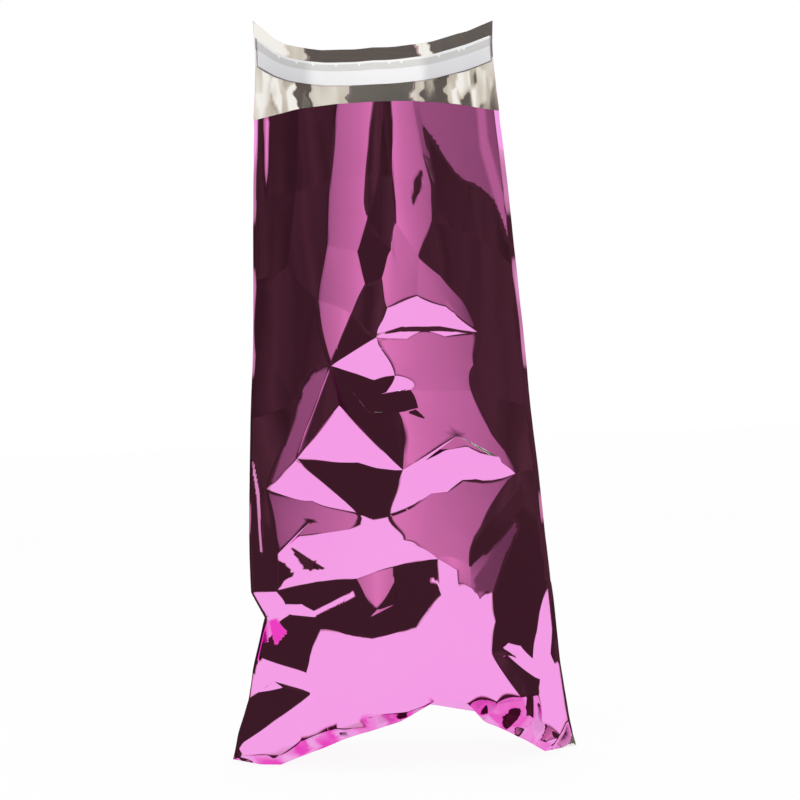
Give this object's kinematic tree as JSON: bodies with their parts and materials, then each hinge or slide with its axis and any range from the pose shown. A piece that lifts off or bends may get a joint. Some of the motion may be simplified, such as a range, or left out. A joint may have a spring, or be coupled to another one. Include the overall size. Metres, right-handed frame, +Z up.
{
  "type": "foil gift bag",
  "caption": "Metallised film gift bag standing open on its bottom gusset, with sealed sides and a lip that carries a peel-and-seal tape.",
  "frame": {"origin": "on the surface the bag stands on, under the middle of its bounding box", "axes": "+Z up along the bag's height, -Y the front panel's side, +Y the lip's side, +X to the right seen from the front"},
  "size_m": [0.162, 0.0848, 0.345],
  "materials": {
    "pink_metal_film": "mirror-bright coloured metallising on a thin film, silver on its inner side, crumpled",
    "adhesive": "grey tacky stripe",
    "liner_film": "milky translucent peel-off film"
  },
  "bodies": {
    "root": {"bag_film": "pink_metal_film", "adhesive_strip": "adhesive", "release_liner": "liner_film"}
  },
  "joints": []
}
